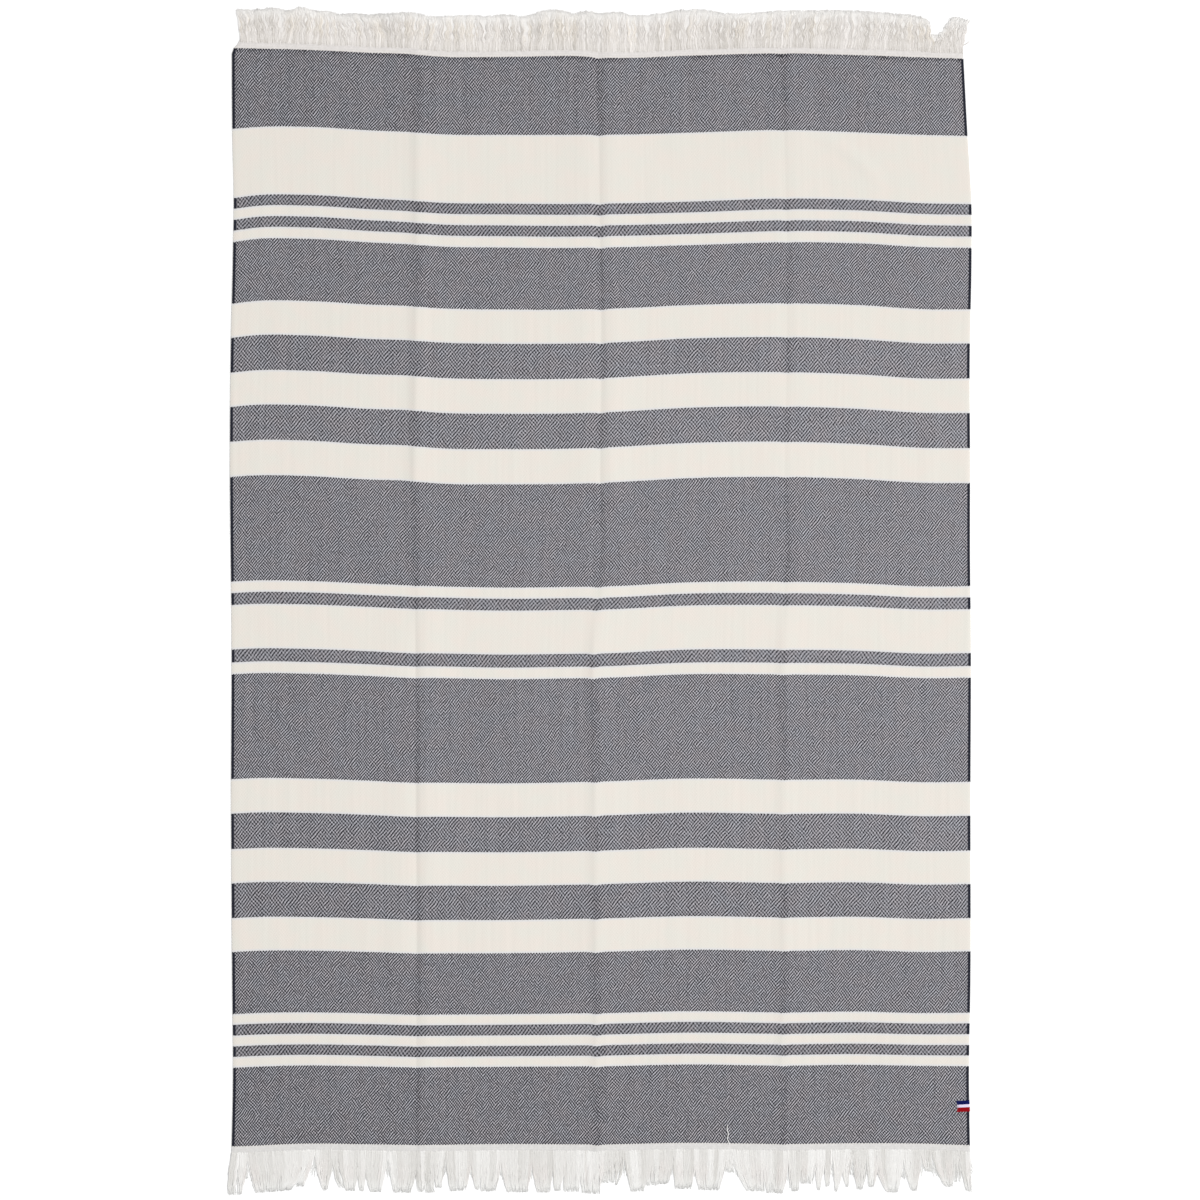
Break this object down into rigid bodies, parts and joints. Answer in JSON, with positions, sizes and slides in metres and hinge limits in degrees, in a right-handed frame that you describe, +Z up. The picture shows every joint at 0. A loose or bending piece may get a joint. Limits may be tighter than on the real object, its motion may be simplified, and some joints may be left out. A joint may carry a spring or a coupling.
{
  "type": "hammam towel",
  "caption": "Flat-woven striped cotton hammam towel with a fringe at both ends, laid out flat, with low fold ridges and a small folded tape on one selvedge.",
  "frame": {"origin": "middle of the towel's underside, on the surface that it lies on", "axes": "+X across the cloth towards the taped selvedge, +Y along it away from the taped end, +Z up from the surface"},
  "size_m": [1.0097, 1.6134, 0.0037],
  "materials": {
    "striped_cotton": "matt broken-twill cotton in bands of charcoal and white, and cream plain bands, with a dark selvedge",
    "loose_cotton_yarn": "matt undyed cotton warp ends",
    "woven_tape": "fine ribbed ribbon in blue, white and red bands"
  },
  "bodies": {
    "root": {"cloth": "striped_cotton", "fringe_top": "loose_cotton_yarn", "fringe_bottom": "loose_cotton_yarn", "flag_tape": "woven_tape"}
  },
  "joints": []
}
